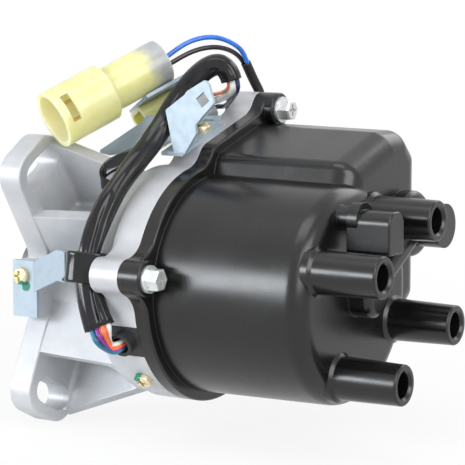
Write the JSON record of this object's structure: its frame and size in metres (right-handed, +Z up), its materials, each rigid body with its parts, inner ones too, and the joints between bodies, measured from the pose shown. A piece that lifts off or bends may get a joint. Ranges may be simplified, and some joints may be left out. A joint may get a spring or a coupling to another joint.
{
  "type": "ignition distributor",
  "caption": "Camshaft-driven ignition distributor with internal coil, slotted flange ears, plug towers, harness and connectors; shaft, rotor and brush move.",
  "frame": {"origin": "on the shaft's axis, in the flange's mating face", "axes": "+X along the shaft from the engine to the plug towers, +Z up, +Y to the left seen from the engine"},
  "size_m": [0.1915, 0.1257, 0.1628],
  "materials": {
    "cast_aluminium": "die-cast, satin, machined edges brighter",
    "cap_plastic": "black glass-filled moulding, satin",
    "zinc_screw": "zinc plated, satin",
    "zinc_bracket": "zinc plated sheet, satin",
    "gold_screw": "yellow passivated, satin",
    "shaft_steel": "ground steel",
    "drive_steel": "sintered steel, dark",
    "bearing_steel": "polished bearing steel",
    "bronze": "sintered bronze",
    "black_rubber": "smooth rubber",
    "signal_steel": "pressed steel, oiled",
    "pickup_plastic": "moulded, matt",
    "inner_plastic": "moulded, matt",
    "rotor_plastic": "moulded, satin brown",
    "brass_contact": "stamped, bright",
    "aluminium_contact": "turned, bright",
    "carbon": "graphite, matt",
    "coil_resin": "cast resin",
    "coil_iron": "stacked laminations",
    "strap_rubber": "dipped, glossy",
    "sleeve_plastic": "soft tubing, glossy",
    "connector_plastic": "translucent nylon, pale yellow",
    "connector_seal": "silicone, grey",
    "wire_blue": "insulation, satin",
    "wire_black": "insulation, satin",
    "wire_white": "insulation, satin",
    "wire_orange": "insulation, satin",
    "wire_violet": "insulation, satin",
    "wire_teal": "insulation, satin"
  },
  "bodies": {
    "root": {"housing": "cast_aluminium", "cap": "cap_plastic", "cap_seal": "black_rubber", "vent_hood": "cap_plastic", "rear_bushing": "bronze", "oil_seal": "black_rubber", "bearing_outer_race": "bearing_steel", "bearing_retainer": "zinc_bracket", "retainer_screw_1": "zinc_screw", "retainer_screw_2": "zinc_screw", "pickup_crank": "pickup_plastic", "pickup_timing": "pickup_plastic", "pickup_cylinder": "pickup_plastic", "igniter": "inner_plastic", "leak_cover": "inner_plastic", "coil_body": "coil_resin", "coil_core": "coil_iron", "side_bracket": "zinc_bracket", "side_bracket_screw": "gold_screw", "side_strap": "strap_rubber", "upper_strap": "strap_rubber", "top_bracket": "zinc_bracket", "top_bracket_screw": "gold_screw", "ground_screw": "gold_screw", "spigot_ring": "black_rubber", "connector_main": "connector_plastic", "connector_main_seal": "connector_seal", "connector_pin_1": "brass_contact", "connector_pin_2": "brass_contact", "connector_second": "connector_plastic", "connector_second_seal": "connector_seal", "grommet": "black_rubber", "harness_sleeve": "sleeve_plastic", "lead_sleeve": "sleeve_plastic", "lead_blue": "wire_blue", "lead_black": "wire_black", "wire_white": "wire_white", "wire_orange": "wire_orange", "wire_violet": "wire_violet", "wire_teal": "wire_teal", "cap_screw_1": "zinc_screw", "cap_screw_2": "zinc_screw", "cap_screw_3": "zinc_screw", "tower_terminal_1": "aluminium_contact", "tower_terminal_2": "aluminium_contact", "tower_terminal_3": "aluminium_contact", "tower_terminal_4": "aluminium_contact"},
    "shaft_unit": {"shaft": "shaft_steel", "drive_coupling": "drive_steel", "coupling_pin": "shaft_steel", "pin_retainer": "shaft_steel", "crank_wheel": "signal_steel", "timing_wheel": "signal_steel", "cylinder_wheel": "signal_steel", "rotor": "rotor_plastic", "rotor_contact": "brass_contact", "bearing_inner_race": "bearing_steel"},
    "ball_set": {"bearing_balls": "bearing_steel"},
    "brush_unit": {"carbon_brush": "carbon", "brush_spring": "shaft_steel"}
  },
  "joints": [
    {"name": "shaft_spin", "type": "hinge", "parent": "root", "child": "shaft_unit", "pos_m": [0, 0, 0], "axis": [1, 0, 0], "continuous": true},
    {"name": "ball_orbit", "type": "hinge", "parent": "root", "child": "ball_set", "pos_m": [0.045, 0, 0], "axis": [1, 0, 0], "continuous": true},
    {"name": "brush_slide", "type": "slide", "parent": "root", "child": "brush_unit", "axis": [1, 0, 0], "range_m": [0, 0.0015], "stiffness_N_per_m": 200, "springref_m": -0.003}
  ],
  "couplings": [
    {"joint": "ball_orbit", "follows": "shaft_spin", "ratio": 0.36364}
  ]
}
